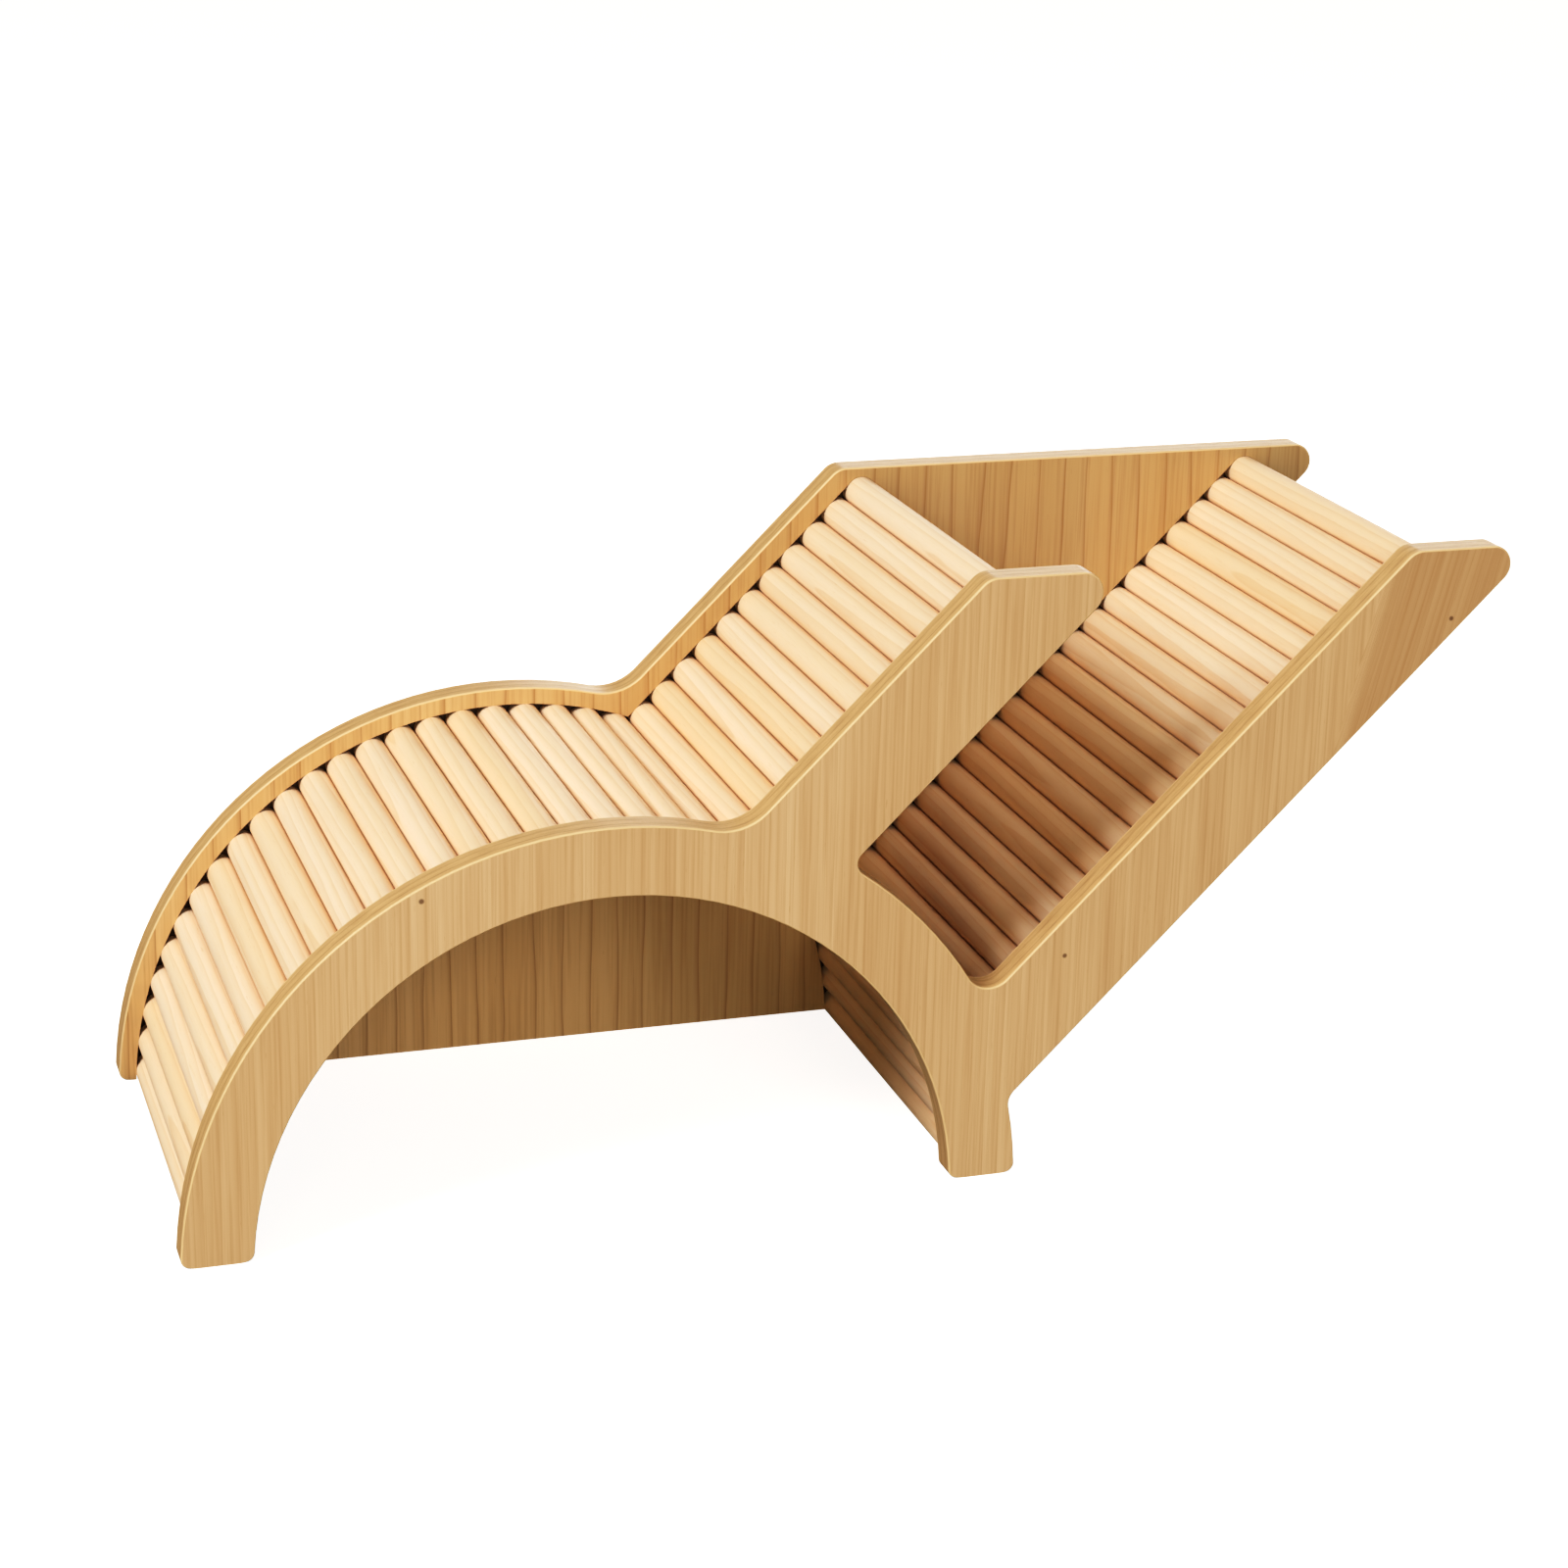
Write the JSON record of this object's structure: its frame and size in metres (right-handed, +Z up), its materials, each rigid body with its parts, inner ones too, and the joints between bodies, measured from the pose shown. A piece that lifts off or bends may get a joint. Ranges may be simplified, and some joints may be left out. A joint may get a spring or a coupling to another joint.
{
  "type": "small pet climbing bridge",
  "caption": "Wooden climbing bridge for a small pet: an arched house with a doorway and two sloping ramps of round dowels between two plywood side panels.",
  "frame": {"origin": "middle of the footprint's bounding box, on the floor that the feet stand on", "axes": "+X along the length towards the overhanging tip, -Y out of the open front panel, +Z up"},
  "size_m": [0.4042, 0.146, 0.188],
  "materials": {
    "front_plywood": "fine sanded pale plywood with an upright grain, unvarnished",
    "back_plywood": "fine sanded pale plywood with an upright grain, unvarnished",
    "dowel_wood": "smooth planed cream coloured softwood, unvarnished"
  },
  "bodies": {
    "root": {"front_panel": "front_plywood", "back_panel": "back_plywood", "arch_dowel_1": "dowel_wood", "arch_dowel_2": "dowel_wood", "arch_dowel_3": "dowel_wood", "arch_dowel_4": "dowel_wood", "arch_dowel_5": "dowel_wood", "arch_dowel_6": "dowel_wood", "arch_dowel_7": "dowel_wood", "arch_dowel_8": "dowel_wood", "arch_dowel_9": "dowel_wood", "arch_dowel_10": "dowel_wood", "arch_dowel_11": "dowel_wood", "arch_dowel_12": "dowel_wood", "arch_dowel_13": "dowel_wood", "arch_dowel_14": "dowel_wood", "arch_dowel_15": "dowel_wood", "arch_dowel_16": "dowel_wood", "arch_dowel_17": "dowel_wood", "arch_dowel_18": "dowel_wood", "arch_dowel_19": "dowel_wood", "arch_dowel_20": "dowel_wood", "arch_dowel_21": "dowel_wood", "arch_dowel_22": "dowel_wood", "upper_ramp_dowel_1": "dowel_wood", "upper_ramp_dowel_2": "dowel_wood", "upper_ramp_dowel_3": "dowel_wood", "upper_ramp_dowel_4": "dowel_wood", "upper_ramp_dowel_5": "dowel_wood", "upper_ramp_dowel_6": "dowel_wood", "upper_ramp_dowel_7": "dowel_wood", "upper_ramp_dowel_8": "dowel_wood", "upper_ramp_dowel_9": "dowel_wood", "upper_ramp_dowel_10": "dowel_wood", "upper_ramp_dowel_11": "dowel_wood", "wall_dowel_1": "dowel_wood", "wall_dowel_2": "dowel_wood", "wall_dowel_3": "dowel_wood", "wall_dowel_4": "dowel_wood", "lower_ramp_dowel_1": "dowel_wood", "lower_ramp_dowel_2": "dowel_wood", "lower_ramp_dowel_3": "dowel_wood", "lower_ramp_dowel_4": "dowel_wood", "lower_ramp_dowel_5": "dowel_wood", "lower_ramp_dowel_6": "dowel_wood", "lower_ramp_dowel_7": "dowel_wood", "lower_ramp_dowel_8": "dowel_wood", "lower_ramp_dowel_9": "dowel_wood", "lower_ramp_dowel_10": "dowel_wood", "lower_ramp_dowel_11": "dowel_wood", "lower_ramp_dowel_12": "dowel_wood", "lower_ramp_dowel_13": "dowel_wood", "lower_ramp_dowel_14": "dowel_wood", "lower_ramp_dowel_15": "dowel_wood", "lower_ramp_dowel_16": "dowel_wood", "lower_ramp_dowel_17": "dowel_wood", "lower_ramp_dowel_18": "dowel_wood", "lower_ramp_dowel_19": "dowel_wood", "lower_ramp_dowel_20": "dowel_wood"}
  },
  "joints": []
}
